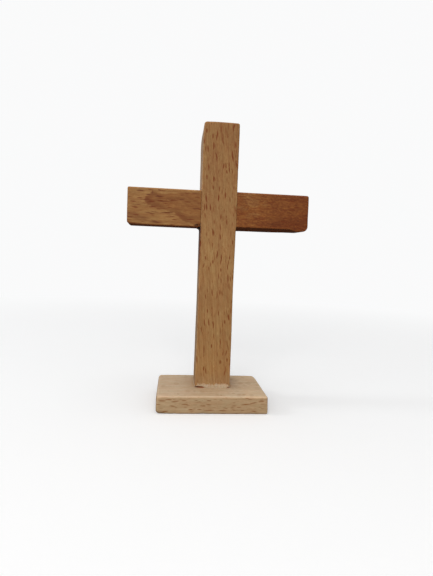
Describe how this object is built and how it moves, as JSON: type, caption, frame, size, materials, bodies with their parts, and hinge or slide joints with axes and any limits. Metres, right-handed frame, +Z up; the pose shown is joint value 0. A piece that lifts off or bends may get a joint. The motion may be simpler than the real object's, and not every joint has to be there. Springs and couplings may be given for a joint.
{
  "type": "altar cross",
  "caption": "Small free-standing wooden altar cross: square upright glued and screwed to a flat base plate, with a crossbar let into it in a cross-lap joint.",
  "frame": {"origin": "centre of the base plate's underside, on the table", "axes": "+Z up along the upright, -Y towards the front, +X to the viewer's right along the crossbar"},
  "size_m": [0.102, 0.044, 0.1589],
  "materials": {
    "beech_base": "sanded bare beech, pale",
    "beech_upright": "sanded beech, warm, thin matt oil",
    "beech_crossbar": "sanded beech, redder and darker towards the right end, thin matt oil",
    "zinc_steel": "bright zinc plated",
    "wood_glue_pale": "dried wood glue with sanding dust in it, satin",
    "wood_glue_dark": "dried wood glue, dirty and translucent brown, satin"
  },
  "bodies": {
    "root": {"base_plate": "beech_base", "upright_post": "beech_upright", "crossbar": "beech_crossbar", "foot_screw": "zinc_steel", "foot_glue": "wood_glue_pale", "lap_glue": "wood_glue_dark"}
  },
  "joints": []
}
